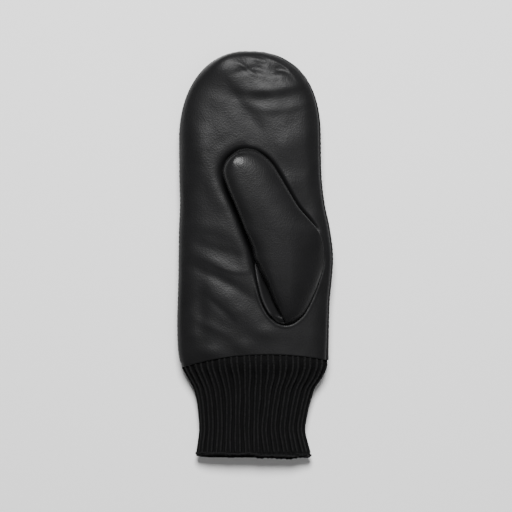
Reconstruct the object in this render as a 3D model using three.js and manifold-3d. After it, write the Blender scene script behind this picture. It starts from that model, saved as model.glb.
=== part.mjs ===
// A right-hand leather mitten with a ribbed knit cuff, as it lies on a table with its palm up.
// The fingertips point along +Y, +Z is up out of the palm, and the thumb is folded over the palm.
// Sizes are in millimetres. The origin is on the table, under the middle of the mitten.
import * as THREE from "three";
import { mergeVertices } from "three/addons/utils/BufferGeometryUtils.js";
import Module from "manifold-3d";

const wasm = await Module();
wasm.setup();

// Leather with its lining. It thins to hemWall over the stretch from thinTo up to thinFrom.
const leather = { wall: 2.2, hemWall: 1.0, thinFrom: -50, thinTo: -62, seamGap: 0.3 };
const knit = { wall: 2.6, ribDepth: 1.1, ribs: 26, pointsPerRib: 4 };

// The hand's outline: left and right edges, height of its middle and half its thickness at each y.
const handRows = [
  { y: -80.0, left: -48.2, right: 47.4, middle: 11.6, rise: 11.6 },
  { y: -71.5, left: -49.4, right: 48.1, middle: 12.0, rise: 12.0 },
  { y: -63.0, left: -51.0, right: 48.0, middle: 12.4, rise: 12.4 },
  { y: -43.0, left: -51.5, right: 48.2, middle: 12.8, rise: 12.9 },
  { y: -28.0, left: -51.3, right: 48.8, middle: 12.9, rise: 13.0 },
  { y: -15.0, left: -51.0, right: 50.1, middle: 12.9, rise: 13.1 },
  { y: 0.0, left: -50.8, right: 50.9, middle: 12.9, rise: 13.1 },
  { y: 19.0, left: -50.5, right: 48.6, middle: 12.9, rise: 13.0 },
  { y: 34.0, left: -49.9, right: 45.4, middle: 12.9, rise: 12.9 },
  { y: 52.0, left: -50.3, right: 43.3, middle: 12.8, rise: 12.8 },
  { y: 76.0, left: -50.5, right: 42.8, middle: 12.7, rise: 12.6 },
];
// Past the shoulder the outline closes in two rounded arcs that meet at the tip.
const handTip = {
  x: -4.9, y: 135.0, middle: 14.2, shoulderY: 76.0,
  leftPower: 2.14, rightPower: 2.46, risePower: 3.0,
};
// sag is how far the soft underside would hang below the table, which presses it flat.
const handShape = {
  sag: 1.5,
  roundness: 2.9, upperPoints: 19, lowerPoints: 10, stations: 28,
  tipStations: 10, tipReach: 0.984, // the last section lies this share of a quarter turn round the tip
};
const sideSeam = { height: 16.2, tilt: 0.03 }; // the palm and back panels meet along this slanting plane
// The hem's edge is an arch: y = crestY - drop * (x - crestX)^2. The hand's sections run on past it.
const wristHem = { crestX: 8, crestY: -64.4, drop: 0.00257, reachX: 70, reachY: -120, depth: 60 };

// The thumb's outline over the palm, from its heel up to its tip.
// fall is how far its top comes down towards its right edge, where it meets the side of the hand.
const thumbRows = [
  { y: -44.2, left: 16.5, right: 26.0, bottom: 18.0, top: 26.4, fall: 0.0 },
  { y: -41.5, left: 12.4, right: 29.4, bottom: 14.0, top: 29.6, fall: 0.5 },
  { y: -37.0, left: 8.5, right: 33.6, bottom: 12.0, top: 32.4, fall: 1.5 },
  { y: -28.5, left: 3.4, right: 38.4, bottom: 10.0, top: 35.6, fall: 2.5 },
  { y: -17.2, left: 0.2, right: 42.4, bottom: 9.0, top: 38.6, fall: 3.2 },
  { y: -6.0, left: -1.0, right: 44.5, bottom: 9.0, top: 40.4, fall: 3.6 },
  { y: 4.0, left: -2.8, right: 44.3, bottom: 11.0, top: 41.4, fall: 3.6 },
  { y: 11.0, left: -5.9, right: 43.0, bottom: 19.0, top: 41.9, fall: 2.6 },
  { y: 17.0, left: -8.8, right: 40.8, bottom: 26.6, top: 42.2, fall: 1.6 },
  { y: 24.0, left: -11.7, right: 34.6, bottom: 26.8, top: 42.4, fall: 0.8 },
  { y: 33.0, left: -15.2, right: 27.2, bottom: 26.6, top: 42.4, fall: 0.3 },
  { y: 45.0, left: -20.2, right: 20.4, bottom: 26.4, top: 42.4, fall: 0.0 },
  { y: 56.0, left: -22.1, right: 14.5, bottom: 26.4, top: 42.1, fall: 0.0 },
  { y: 63.0, left: -20.8, right: 9.9, bottom: 26.6, top: 41.2, fall: 0.0 },
  { y: 68.5, left: -17.4, right: 4.7, bottom: 27.6, top: 38.8, fall: 0.0 },
  { y: 71.8, left: -12.5, right: -1.7, bottom: 29.6, top: 35.4, fall: 0.0 },
];
// Sections crowd towards both ends of the thumb: 0 is evenly spaced, 1 is as on a sphere.
const thumbShape = { roundness: 2.3, stations: 21, crowding: 0.55, upperPoints: 14, lowerPoints: 10 };
const fallPower = 1.6; // the higher, the nearer the right edge a falling top starts to come down

// The knit cuff. Its first two rows are tucked into the leather, clear of it all round.
// hemLean brings the upper layer's hem back from the lower layer's.
const cuffRows = [
  { y: -60.5, left: -48.5, right: 46.2, middle: 12.5, rise: 10.7, sag: 0, hemLean: 0 },
  { y: -73.2, left: -47.1, right: 46.2, middle: 11.9, rise: 10.4, sag: 0, hemLean: 0 },
  { y: -75.8, left: -47.7, right: 46.0, middle: 11.2, rise: 10.8, sag: 0.8, hemLean: 0 },
  { y: -79.5, left: -44.8, right: 43.4, middle: 10.3, rise: 10.3, sag: 1.5, hemLean: 0 },
  { y: -87.0, left: -40.8, right: 38.8, middle: 9.6, rise: 9.6, sag: 1.5, hemLean: 0 },
  { y: -95.0, left: -38.7, right: 36.0, middle: 9.2, rise: 9.2, sag: 1.5, hemLean: 0 },
  { y: -105.0, left: -37.5, right: 33.7, middle: 8.9, rise: 8.9, sag: 1.5, hemLean: 0.3 },
  { y: -115.0, left: -37.0, right: 32.4, middle: 8.8, rise: 8.8, sag: 1.5, hemLean: 0.8 },
  { y: -123.5, left: -38.0, right: 34.2, middle: 9.0, rise: 9.0, sag: 1.5, hemLean: 1.3 },
  { y: -131.6, left: -39.3, right: 36.5, middle: 9.2, rise: 9.2, sag: 1.5, hemLean: 1.6 },
];
const cuffShape = { roundness: 2.7, upperPoints: 120, lowerPoints: 120, hemRound: 0.8 };

// Folds in the leather, each a bowed line from (x1, y1) to (x2, y2). depth above 0 is a ridge.
// They fade out down the sides, between these two shares of a section's height.
const foldFade = { from: 0.2, to: 0.8 };
const palmFolds = [
  { x1: -24, y1: 117, x2: 36, y2: 117, bow: -8.5, width: 5.5, depth: 1.5 },
  { x1: -30, y1: 109, x2: 37, y2: 110, bow: -6.0, width: 3.4, depth: -1.2 },
  { x1: -18, y1: 104, x2: 34, y2: 106, bow: -6.0, width: 3.4, depth: 0.8 },
  { x1: -30, y1: 126, x2: 3, y2: 88, bow: -1.0, width: 4.4, depth: -0.8 },
  { x1: -50, y1: 22, x2: -8, y2: 6, bow: 1.5, width: 5.5, depth: 0.8 },
  { x1: -50, y1: 15, x2: -4, y2: 1, bow: -1.5, width: 3.6, depth: -1.1 },
  { x1: -47, y1: 3, x2: 1, y2: -9, bow: -3.5, width: 3.4, depth: 1.1 },
  { x1: -51, y1: -4, x2: 7, y2: -39, bow: 2.5, width: 3.6, depth: -1.4 },
  { x1: -50, y1: -14, x2: 5, y2: -50, bow: 2.5, width: 5.6, depth: 1.1 },
  { x1: -43, y1: 74, x2: -14, y2: 6, bow: -0.5, width: 4.2, depth: 0.9 },
];
// The crease between the thumb's inner side and the little roll of leather along its seam.
const thumbFolds = [
  { x1: -2, y1: 4, x2: 22, y2: -42, bow: -1.5, width: 2.6, depth: -3.2 },
];

// Height that a table of folds adds at a point.
function foldHeight(folds, x, y) {
  return folds.reduce((sum, f) => {
    const along = new THREE.Vector2(f.x2 - f.x1, f.y2 - f.y1);
    const length = along.length();
    along.divideScalar(length);
    const share = ((x - f.x1) * along.x + (y - f.y1) * along.y) / length;
    if (share <= 0 || share >= 1) return sum;
    const aside = (y - f.y1) * along.x - (x - f.x1) * along.y;
    const offset = (aside - f.bow * 4 * share * (1 - share)) / f.width;
    return sum + f.depth * Math.sin(Math.PI * share) * Math.exp(-offset * offset);
  }, 0);
}

// Smooth lookup in a table of rows: every column at any y.
function tableAlongY(rows) {
  const columns = Object.keys(rows[0]);
  const lookup = new THREE.CubicInterpolant(
    rows.map((row) => row.y),
    rows.flatMap((row) => columns.map((name) => row[name])),
    columns.length,
  );
  return (y) => {
    const values = lookup.evaluate(y);
    return Object.fromEntries(columns.map((name, i) => [name, values[i]]));
  };
}
const handTable = tableAlongY(handRows);
const thumbTable = tableAlongY(thumbRows);

// One row of the hand at y, with the outline closing towards the tip.
function handRow(y) {
  if (y <= handTip.shoulderY) return handTable(y);
  const shoulder = handTable(handTip.shoulderY);
  const share = Math.min(1, (y - handTip.shoulderY) / (handTip.y - handTip.shoulderY));
  const closing = (power) => Math.pow(1 - Math.pow(share, power), 1 / power);
  return {
    y,
    left: handTip.x + (shoulder.left - handTip.x) * closing(handTip.leftPower),
    right: handTip.x + (shoulder.right - handTip.x) * closing(handTip.rightPower),
    middle: THREE.MathUtils.lerp(shoulder.middle, handTip.middle, share * share),
    rise: shoulder.rise * closing(handTip.risePower),
  };
}

// A closed rounded section across the mitten. Nothing in it goes under floorZ.
function sectionRing(row, shape, floorZ, folds) {
  const ring = [];
  const half = (row.right - row.left) / 2;
  const centreX = (row.right + row.left) / 2;
  const power = 2 / shape.roundness;
  for (let i = 0; i < shape.upperPoints + shape.lowerPoints; i++) {
    const below = i - shape.upperPoints;
    const turn = Math.PI * (below < 0 ? i / shape.upperPoints : 1 + below / shape.lowerPoints);
    const across = Math.sign(Math.cos(turn)) * Math.pow(Math.abs(Math.cos(turn)), power);
    const up = Math.sign(Math.sin(turn)) * Math.pow(Math.abs(Math.sin(turn)), power);
    const x = centreX + half * across;
    const upperSide = THREE.MathUtils.smoothstep(up, foldFade.from, foldFade.to);
    const fold = upperSide > 0 ? upperSide * foldHeight(folds, x, row.y) : 0;
    const fall = below < 0 && across > 0 ? (row.fall ?? 0) * across ** fallPower : 0;
    const reach = below < 0 ? row.rise - fall : row.rise + row.sag;
    const z = Math.max(row.middle + reach * up + fold, floorZ);
    ring.push(new THREE.Vector3(x, row.y, z));
  }
  return ring;
}

// A closed surface through rings of equal length. With end caps it is a solid; looped, it is a tube's wall.
function ringsGeometry(rings, looped) {
  const count = rings[0].length;
  const points = rings.flat();
  const faces = [];
  const last = looped ? rings.length : rings.length - 1;
  for (let r = 0; r < last; r++) {
    const here = r * count;
    const next = ((r + 1) % rings.length) * count;
    for (let i = 0; i < count; i++) {
      const j = (i + 1) % count;
      faces.push(here + i, next + i, next + j, here + i, next + j, here + j);
    }
  }
  if (!looped) {
    for (const [ring, start, facingBack] of [
      [rings[0], 0, true],
      [rings.at(-1), (rings.length - 1) * count, false],
    ]) {
      const centre = ring.reduce((sum, p) => sum.add(p), new THREE.Vector3()).divideScalar(count);
      points.push(centre);
      for (let i = 0; i < count; i++) {
        const j = (i + 1) % count;
        const edge = facingBack ? [start + i, start + j] : [start + j, start + i];
        faces.push(points.length - 1, ...edge);
      }
    }
  }
  return new THREE.BufferGeometry().setFromPoints(points).setIndex(faces);
}

function solidFrom(geometry) {
  const plain = geometry.clone().deleteAttribute("normal").deleteAttribute("uv");
  const merged = mergeVertices(plain, 1e-4);
  const mesh = new wasm.Mesh({
    numProp: 3,
    vertProperties: merged.attributes.position.array,
    triVerts: new Uint32Array(merged.index.array),
  });
  return new wasm.Manifold(mesh);
}

function geometryFrom(solid) {
  const mesh = solid.getMesh();
  return new THREE.BufferGeometry()
    .setAttribute("position", new THREE.BufferAttribute(mesh.vertProperties, 3))
    .setIndex(new THREE.BufferAttribute(mesh.triVerts, 1));
}

// Stations along the hand, evenly spaced up to the shoulder and closing in on the tip.
function handStations(inset) {
  const stations = [];
  const first = handRows[0].y;
  for (let i = 0; i < handShape.stations; i++) {
    stations.push(THREE.MathUtils.lerp(first, handTip.shoulderY, i / handShape.stations));
  }
  const reach = handTip.y - inset - handTip.shoulderY;
  for (let i = 0; i < handShape.tipStations; i++) {
    const turn = (handShape.tipReach * Math.PI * i) / (handShape.tipStations - 1) / 2;
    stations.push(handTip.shoulderY + reach * Math.sin(turn));
  }
  return stations;
}

// The solid inside the hand's outer skin, or with an inset, the hollow inside its leather.
function handSolid(wallAt) {
  const inset = wallAt(handTip.y);
  const tipLength = handTip.y - handTip.shoulderY;
  const rings = handStations(inset).map((y) => {
    const wall = wallAt(y);
    const past = Math.max(0, y - handTip.shoulderY);
    const row = handRow(y + past * (tipLength / (tipLength - inset) - 1));
    const shrink = Math.min(wall, row.rise / 2);
    const inner = {
      y,
      left: row.left + shrink,
      right: row.right - shrink,
      middle: row.middle,
      rise: row.rise - shrink,
      sag: handShape.sag,
    };
    return sectionRing(inner, handShape, wall, palmFolds);
  });
  return solidFrom(ringsGeometry(rings, false));
}

// How thick the hand's wall is at y: thinner towards the wrist hem, where it is skived.
function handWall(y) {
  const share = THREE.MathUtils.smoothstep(y, leather.thinTo, leather.thinFrom);
  return THREE.MathUtils.lerp(leather.hemWall, leather.wall, share);
}

// Everything below the arched wrist hem.
function belowWristHem() {
  const { crestX, crestY, drop, reachX, reachY, depth } = wristHem;
  const edgeY = (x) => crestY - drop * (x - crestX) ** 2;
  const slope = 2 * drop * (reachX + crestX);
  const outline = new THREE.Shape();
  outline.moveTo(-reachX, edgeY(-reachX));
  outline.quadraticCurveTo(0, edgeY(-reachX) + slope * reachX, reachX, edgeY(reachX));
  outline.lineTo(reachX, reachY);
  outline.lineTo(-reachX, reachY);
  const block = new THREE.ExtrudeGeometry(outline, { depth, curveSegments: 18, bevelEnabled: false });
  return solidFrom(block.translate(0, 0, -depth / 4));
}

// The half of space above or below the side seam, short of it by half the seam's gap.
function sideOfSeam(direction) {
  const size = 400; // wider than the mitten any way
  const block = new THREE.BoxGeometry(size, size, size);
  block.translate(0, 0, direction * (size / 2 + leather.seamGap / 2));
  block.rotateY(-sideSeam.tilt);
  return solidFrom(block.translate(0, 0, sideSeam.height));
}

// The thumb's outer skin, or with an inset the hollow inside its leather.
function thumbSolid(inset) {
  const first = thumbRows[0].y + inset;
  const last = thumbRows.at(-1).y - inset;
  const rings = [];
  for (let i = 0; i <= thumbShape.stations; i++) {
    const evenShare = i / thumbShape.stations;
    const roundShare = (1 - Math.cos(Math.PI * evenShare)) / 2;
    const share = THREE.MathUtils.lerp(evenShare, roundShare, thumbShape.crowding);
    const row = thumbTable(THREE.MathUtils.lerp(thumbRows[0].y, thumbRows.at(-1).y, share));
    const inner = {
      y: THREE.MathUtils.lerp(first, last, share),
      left: row.left + inset,
      right: row.right - inset,
      middle: (row.top + row.bottom) / 2,
      rise: (row.top - row.bottom) / 2 - inset,
      sag: 0,
      fall: row.fall,
    };
    rings.push(sectionRing(inner, thumbShape, 0, thumbFolds));
  }
  return solidFrom(ringsGeometry(rings, false));
}

// One ring of the cuff, its ribs standing out from the ring that is inset from the crests.
function cuffRing(row, inset, ribDepth) {
  const left = row.left + inset;
  const right = row.right - inset;
  const base = sectionRing({ ...row, left, right, rise: row.rise - inset }, cuffShape, 0, []);
  const count = knit.ribs * knit.pointsPerRib;
  const spaced = new THREE.CatmullRomCurve3(base, true).getSpacedPoints(count).slice(0, count);
  const centre = new THREE.Vector3((row.left + row.right) / 2, row.y, row.middle);
  return spaced.map((point, i) => {
    const before = spaced[(i + count - 1) % count];
    const after = spaced[(i + 1) % count];
    const outward = new THREE.Vector3(after.z - before.z, 0, before.x - after.x).normalize();
    const inGroove = i % knit.pointsPerRib >= knit.pointsPerRib / 2;
    const moved = point.clone().addScaledVector(outward, inGroove ? -ribDepth : 0);
    const height = (moved.z - centre.z) / row.rise;
    moved.y += row.hemLean * height;
    moved.z = Math.max(moved.z, inset + (inGroove ? ribDepth : 0));
    return moved;
  });
}

function cuffGeometry() {
  const hem = cuffRows.at(-1);
  const outer = cuffRows.map((row) => cuffRing(row, 0, knit.ribDepth));
  const lip = cuffRing({ ...hem, y: hem.y - cuffShape.hemRound }, knit.wall / 2, knit.ribDepth / 2);
  const innerRows = cuffRows.filter((row, i) => i % 2 === 0 || row === hem);
  const inner = innerRows.map((row) => cuffRing(row, knit.wall, 0)).reverse();
  return ringsGeometry([...outer, lip, ...inner].reverse(), true);
}

const leatherBlack = new THREE.MeshStandardMaterial({ color: 0x1c1c1d, roughness: 0.42, metalness: 0 });
const knitBlack = new THREE.MeshStandardMaterial({ color: 0x0d0d0e, roughness: 0.95, metalness: 0 });

function piece(name, geometry, material) {
  const mesh = new THREE.Mesh(geometry, material);
  mesh.name = name;
  return mesh;
}

const handSkin = handSolid(() => 0);
const handShell = handSkin.subtract(handSolid(handWall)).subtract(belowWristHem());
const thumbHollow = thumbSolid(leather.wall);
const handUnderThumb = handSkin.translate([0, 0, leather.seamGap]);

const palm = handShell.intersect(sideOfSeam(1)).subtract(thumbHollow);
const back = handShell.intersect(sideOfSeam(-1));
const thumb = thumbSolid(0).subtract(thumbHollow).subtract(handUnderThumb);

const mitten = new THREE.Group();
mitten.add(piece("palm", geometryFrom(palm), leatherBlack));
mitten.add(piece("back", geometryFrom(back), leatherBlack));
mitten.add(piece("thumb", geometryFrom(thumb), leatherBlack));
mitten.add(piece("rib_cuff", cuffGeometry(), knitBlack));

export default mitten;
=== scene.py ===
# A right-hand black leather mitten with a ribbed knit cuff, lying palm up with its thumb folded over.
# Lengths in the tables are millimetres in the model's own frame: +Y to the fingertips, +Z up and +X to
# the thumb's side.
import bpy
import bmesh
import numpy as np
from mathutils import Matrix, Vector, kdtree, noise


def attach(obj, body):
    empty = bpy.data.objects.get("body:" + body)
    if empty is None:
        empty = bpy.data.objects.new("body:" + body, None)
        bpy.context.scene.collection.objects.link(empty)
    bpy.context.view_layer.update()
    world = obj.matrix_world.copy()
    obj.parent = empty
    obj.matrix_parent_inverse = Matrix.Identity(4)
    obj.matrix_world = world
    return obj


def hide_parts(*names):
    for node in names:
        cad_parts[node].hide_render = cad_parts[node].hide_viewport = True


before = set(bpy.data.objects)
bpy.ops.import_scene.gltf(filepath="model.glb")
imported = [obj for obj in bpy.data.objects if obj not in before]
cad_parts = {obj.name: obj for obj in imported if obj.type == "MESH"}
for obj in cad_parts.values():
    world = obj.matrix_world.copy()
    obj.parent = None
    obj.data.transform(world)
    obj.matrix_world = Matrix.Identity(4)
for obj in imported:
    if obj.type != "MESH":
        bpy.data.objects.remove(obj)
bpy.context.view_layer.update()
pi = np.pi
millimetre = 0.001
perMetre = 1 / millimetre
print("frame loaded")


def table(columns, rows):
    # named columns of numbers, ordered by the first one
    values = np.array(sorted(rows), float)
    return {name: values[:, i] for i, name in enumerate(columns.split())}


def along(columns, knots, at):
    # every column at any place: a cubic whose slope at a row is the mean of the slopes beside it
    gap = np.diff(knots)
    place = np.clip(np.searchsorted(knots, at, side="right") - 1, 0, len(gap) - 1)
    p = np.clip((at - knots[place]) / gap[place], 0, 1)
    result = {}
    for name, values in columns.items():
        steps = np.diff(values) / gap
        slopes = np.concatenate([steps[:1], (steps[1:] + steps[:-1]) / 2, steps[-1:]])
        a, b = values[place], values[place + 1]
        outA, inB = slopes[place] * gap[place], slopes[place + 1] * gap[place]
        bend = 3 * (b - a) - 2 * outA - inB + p * (2 * (a - b) + outA + inB)
        result[name] = a + p * (outA + p * bend)
    return result


def smooth(value, low, high):
    # 0 at low, 1 at high, with soft ends
    share = np.clip((value - low) / (high - low), 0, 1)
    return share * share * (3 - 2 * share)


def signedPower(value, power):
    return np.sign(value) * np.abs(value) ** power


def section(row, turn, roundness, sag=0.0):
    # a rounded section across the mitten, pressed flat where it would reach below the table
    power = roundness + row.get("boxRight", 0) * (np.cos(turn) > 0)
    across = signedPower(np.cos(turn), 2 / power)
    up = signedPower(np.sin(turn), 2 / power)
    crest = row["left"] + (row["right"] - row["left"]) * row.get("crest", 0.5)
    x = crest + np.where(across > 0, row["right"] - crest, crest - row["left"]) * across
    fall = row.get("fall", 0) * np.clip(across, 0, 1) ** 2 * (up > 0)
    z = row["middle"] + (row["rise"] + sag * (up < 0) - fall) * up
    return x, np.maximum(z, 0.0), up


def curveThrough(points):
    # a smooth line through a few points of the plan, sampled at even steps
    points = np.array(points, float)
    knots = np.arange(len(points))
    at = np.linspace(0, knots[-1], 40 * len(points))
    fine = along({"x": points[:, 0], "y": points[:, 1]}, knots, at)
    flat = np.stack([fine["x"], fine["y"], 0 * fine["x"]], axis=1)
    return finePath(flat, 0.6)[:, :2]


def foldHeight(folds, x, y):
    # what the folds add at a point; each fades out towards both ends of its line
    height = np.zeros(x.size)
    flatX, flatY = x.reshape(-1), y.reshape(-1)
    for rise, leftSpread, rightSpread, points in folds:
        line = curveThrough(points)
        reach = 3 * max(leftSpread, rightSpread)
        low, high = line.min(axis=0) - reach, line.max(axis=0) + reach
        near = np.nonzero((flatX > low[0]) & (flatX < high[0]) & (flatY > low[1]) & (flatY < high[1]))[0]
        awayX = flatX[near, None] - line[None, :, 0]
        awayY = flatY[near, None] - line[None, :, 1]
        apart = awayX * awayX + awayY * awayY
        nearest = apart.argmin(axis=1)
        pick = np.arange(len(near))
        heading = np.gradient(line, axis=0)[nearest]
        side = heading[:, 0] * awayY[pick, nearest] - heading[:, 1] * awayX[pick, nearest]
        spread = np.where(side > 0, leftSpread, rightSpread)
        share = nearest / (len(line) - 1)
        fade = smooth(share, 0, 0.45) * smooth(share, 1, 0.55)
        height[near] += rise * fade * np.exp(-apart[pick, nearest] / spread ** 2)
    return height.reshape(x.shape)


def swellHeight(swells, x, y):
    # low round swells (height above 0) and dips: x, y, half width, half length, height
    return sum(
        rise * np.exp(-((x - centreX) / halfWidth) ** 2 - ((y - centreY) / halfLength) ** 2)
        for centreX, centreY, halfWidth, halfLength, rise in swells
    )


def waviness(points, size, seed):
    # smooth random height between about -1 and 1 at each point, for a bump of the given size
    shift = Vector((seed * 17.3, seed * 5.1, seed * 9.7))
    flat = points.reshape(-1, 3)
    values = [noise.noise(Vector(p) / size + shift) for p in flat]
    return np.array(values).reshape(points.shape[:-1])


def softness(points, waves):
    # the slow waves of soft leather: for each a size, a seed and a height
    return sum(waviness(points, size, seed) * height for size, seed, height in waves)


def nearLine(distance, spread):
    # 1 on a line, fading with the distance from it
    return np.exp(-(distance / spread) ** 2)


def flattened(points):
    return points * np.array([1, 1, 0])


def travelledAlong(x, z):
    # the length of a section's outline up to each of its points
    return np.concatenate([[0], np.cumsum(np.hypot(np.diff(x), np.diff(z)))])


def distanceTo(points, curve):
    tree = kdtree.KDTree(len(curve))
    for i, p in enumerate(curve):
        tree.insert(p, i)
    tree.balance()
    flat = points.reshape(-1, 3)
    return np.array([tree.find(p)[2] for p in flat]).reshape(points.shape[:-1])


def finePath(points, step):
    # the same path with points no further apart than step
    lengths = np.linalg.norm(np.diff(points, axis=0), axis=1)
    travelled = np.concatenate([[0], np.cumsum(lengths)])
    at = np.linspace(0, travelled[-1], int(travelled[-1] / step) + 2)
    return np.stack([np.interp(at, travelled, points[:, k]) for k in range(3)], axis=1)


def gridNormals(grid, wrap=False):
    # outward normals of a grid whose columns run anticlockwise seen from the far end of Y
    ahead = np.gradient(grid, axis=0)
    if wrap:
        beside = np.roll(grid, -1, axis=1) - np.roll(grid, 1, axis=1)
    else:
        beside = np.gradient(grid, axis=1)
    normals = np.cross(ahead, beside)
    lengths = np.linalg.norm(normals, axis=2, keepdims=True)
    normals = normals / np.maximum(lengths, 1e-9)
    for end, near in ((0, 1), (-1, -2)):
        if lengths[end].max() < 1e-6:
            facing = normals[near].mean(axis=0)
            normals[end] = facing / np.linalg.norm(facing)
    return normals


def sceneObject(name, data):
    made = bpy.data.objects.new(name, data)
    bpy.context.scene.collection.objects.link(made)
    return made


def sheetObject(name, grid, keep=None, wrap=False, masks=None):
    # a mesh of quads through a grid of points; keep says which quads stay
    rows, count = grid.shape[:2]
    index = np.arange(rows * count).reshape(rows, count)
    right = np.roll(index, -1, axis=1) if wrap else index[:, 1:]
    left = index if wrap else index[:, :-1]
    quads = np.stack([left[:-1], left[1:], right[1:], right[:-1]], axis=2)
    quads = quads[keep] if keep is not None else quads.reshape(-1, 4)
    mesh = bpy.data.meshes.new(name)
    mesh.from_pydata((grid.reshape(-1, 3) * millimetre).tolist(), [], quads.tolist())
    for maskName, values in (masks or {}).items():
        attribute = mesh.attributes.new(maskName, "FLOAT", "POINT")
        attribute.data.foreach_set("value", values.reshape(-1).astype(np.float32))
    shape = bmesh.new()
    shape.from_mesh(mesh)
    bmesh.ops.remove_doubles(shape, verts=shape.verts, dist=0.01 * millimetre)
    loose = [v for v in shape.verts if not v.link_faces]
    bmesh.ops.delete(shape, geom=loose, context="VERTS")
    for face in shape.faces:
        face.smooth = True
    shape.to_mesh(mesh)
    shape.free()
    return sceneObject(name, mesh)


def plainMesh(made):
    # the evaluated shape as the object's own mesh, with no modifier left
    graph = bpy.context.evaluated_depsgraph_get()
    mesh = bpy.data.meshes.new_from_object(made.evaluated_get(graph), depsgraph=graph)
    made.modifiers.clear()
    made.data = mesh
    return made


def thicken(made, wall):
    modifier = made.modifiers.new("wall", "SOLIDIFY")
    modifier.thickness = wall * millimetre
    modifier.offset = -1
    return plainMesh(made)


# The hand: one skin, cut into a palm and a back panel along a slanting plane.
hand = {
    "tipX": -5.6, "tipY": 134.8, "tipMiddle": 14.2, "shoulderY": 76.0,
    "leftPower": 2.20, "rightPower": 2.42, "risePower": 4.2,
    "roundness": 2.9, "sag": 1.5, "wall": 1.2,
    "seamHeight": 16.2, "seamTilt": 0.03, "seamGap": 0.3,
    "seamRound": 0.95, "beadHeight": 0.36, "beadWidth": 0.7, "stitchLength": 3.1,
    # where a painted highlight lines the side seam: its distance in from the seam and its spread
    "beadAway": 1.5, "highlightAway": 1.6, "highlightSpread": 0.6,
    "hemY": -68.0, "hemSteps": (0, 0.15, 0.35, 0.65), "archFrom": -25,
    "hemCrestX": 8.0, "hemCrestY": -64.4, "hemDrop": 0.00257, "hemRound": 0.8,
    "edgeSteps": (0, 0.12, 0.3, 0.55, 0.85, 1.25), "edgeArc": 12,
    "waves": ((24.0, 1, 0.40), (9.0, 2, 0.16)), "waveFree": 12,
    "foldFade": (0.2, 0.8), "pad": (10, 120, 24, 9, 0.22), "padWave": (4.0, 3),
}
handRows = table("y left right middle rise", [
    (-80.0, -48.2, 47.4, 11.6, 11.6),
    (-71.5, -49.4, 48.1, 12.0, 12.0),
    (-63.0, -51.0, 48.0, 12.4, 12.4),
    (-43.0, -51.7, 48.2, 12.8, 12.9),
    (-28.0, -51.4, 48.7, 12.9, 13.0),
    (-15.0, -51.0, 50.0, 12.9, 13.1),
    (0.0, -50.8, 50.9, 12.9, 13.1),
    (19.0, -50.5, 48.6, 12.9, 13.0),
    (34.0, -49.9, 45.4, 12.9, 12.9),
    (52.0, -50.3, 43.3, 12.8, 12.8),
    (76.0, -50.5, 42.8, 12.7, 12.6),
])
# height (below 0 for a valley), spread to the left and right of the line seen along it, and its points
palmFolds = [
    (0.45, 6.0, 5.0, ((-54, 24), (-36, 21), (-20, 15), (-8, 6))),
    (-0.46, 3.8, 4.6, ((-48, 12), (-40, 9.5), (-32, 6), (-19, 2), (-10, -0.5), (0, -3))),
    (0.34, 2.6, 1.7, (
        (-43, 1.5), (-37, -0.5), (-28, -4.5), (-20, -8.2), (-13, -10), (-6, -10), (2, -8),
    )),
    (0.12, 1.8, 1.4, ((-36, 2), (-29, -1.5), (-22, -4), (-15, -7), (-8, -8))),
    (-0.60, 3.4, 3.8, ((-60, 0), (-46, -5), (-34, -10), (-22, -15.5), (-11, -22), (2, -32), (9, -42))),
    (0.55, 5.4, 7.0, (
        (-58, -11), (-46, -16), (-34, -21), (-22, -27.5), (-11, -36),
        (0, -45), (9, -50), (18, -52.5), (27, -53),
    )),
    (-0.35, 2.2, 2.6, ((-38, -22), (-29, -29), (-20, -37), (-11, -47))),
    (0.30, 3.4, 2.8, ((-46, -36), (-34, -44), (-21, -50), (-8, -58))),
    (0.32, 5.6, 4.6, (
        (-42, 86), (-36, 70), (-32, 55), (-28, 42), (-23, 28), (-17, 14), (-12, 3), (-8, -8),
    )),
    (0.95, 6.0, 2.8, (
        (-20, 115), (-9, 109.6), (2, 108.2), (13, 108.8), (24, 111), (34, 116), (42, 124),
    )),
    (-0.24, 3.8, 3.4, (
        (-40, 116), (-24, 108), (-8, 104.5), (6, 103), (20, 104.5), (34, 109), (44, 116),
    )),
    (0.23, 3.0, 2.0, ((-19, 102.5), (-7, 99), (4, 96.0), (14, 95.6), (24, 97.2), (34, 101), (50, 111))),
    (-0.65, 4.2, 7.0, (
        (-31, 124), (-22, 115), (-14.5, 105), (-8.5, 97), (-3.5, 90.5), (1.5, 84), (4.5, 76),
    )),
    (-0.60, 2.0, 2.4, ((-26, 118), (-12, 120.5), (0, 122.5), (10, 120.5), (19, 122), (32, 116))),
    (0.50, 1.7, 1.3, ((-17, 128), (-10, 125.5), (-4.5, 121.5), (2, 117))),
    (0.45, 1.3, 1.3, ((2, 131), (10, 128.6), (17, 125.5), (23.5, 120), (29, 113))),
    (0.35, 1.3, 1.4, ((-6, 130), (0, 129.2), (5, 128), (11, 126))),
    (-0.40, 1.6, 1.6, ((4, 127), (11, 123.5), (19, 121), (28, 121))),
]
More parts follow.
